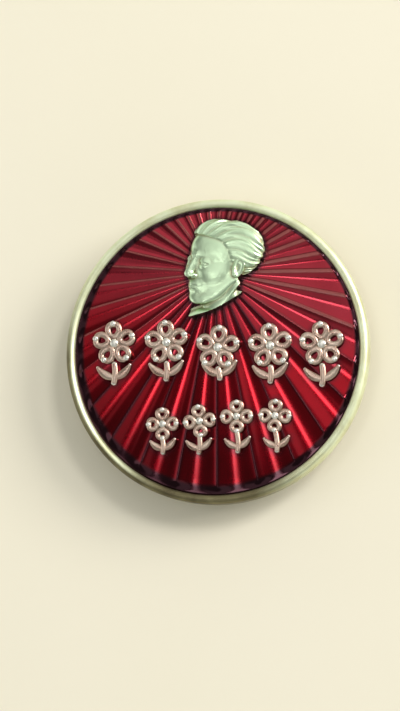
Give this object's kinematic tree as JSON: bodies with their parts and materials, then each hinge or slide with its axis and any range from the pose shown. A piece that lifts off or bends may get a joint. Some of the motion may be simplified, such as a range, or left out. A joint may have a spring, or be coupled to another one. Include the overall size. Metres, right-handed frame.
{
  "type": "button badge",
  "caption": "Round metal lapel badge with a lacquered sunburst field, a portrait relief, flower ornaments and a hinged pin with a turning safety catch on its back.",
  "frame": {"origin": "centre of the flat ring that the turned edge makes on the badge's back", "axes": "+Z out of the badge's face, +Y to the top of the design, +X along the needle from its hinge to its point"},
  "size_m": [0.04, 0.04, 0.0069],
  "materials": {
    "gilt_polished": "pale gilt, polished on the rim",
    "gilt_satin": "pale gilt, satin",
    "red_lacquer": "translucent gloss lacquer over metal",
    "back_brass": "brushed, lightly tarnished",
    "plated_steel": "nickel-plated, stamped",
    "needle_steel": "bright drawn steel"
  },
  "bodies": {
    "badge": {"front_shell": "gilt_polished", "red_lacquer": "red_lacquer", "portrait_relief": "gilt_satin", "back_plate": "back_brass", "pin_bar": "plated_steel", "bar_rivets": "plated_steel", "hinge_pin": "needle_steel", "catch_housing": "plated_steel"},
    "needle": {"needle": "needle_steel"},
    "catch_barrel": {"catch_barrel": "needle_steel"}
  },
  "joints": [
    {"name": "needle_lift", "type": "hinge", "parent": "badge", "child": "needle", "pos_m": [-0.011, 0.0045, -0.00145], "axis": [0, 1, 0], "range_deg": [0, 100]},
    {"name": "catch_turn", "type": "hinge", "parent": "badge", "child": "catch_barrel", "pos_m": [0.011, 0.0045, -0.00145], "axis": [1, 0, 0], "range_deg": [0, 100]}
  ]
}
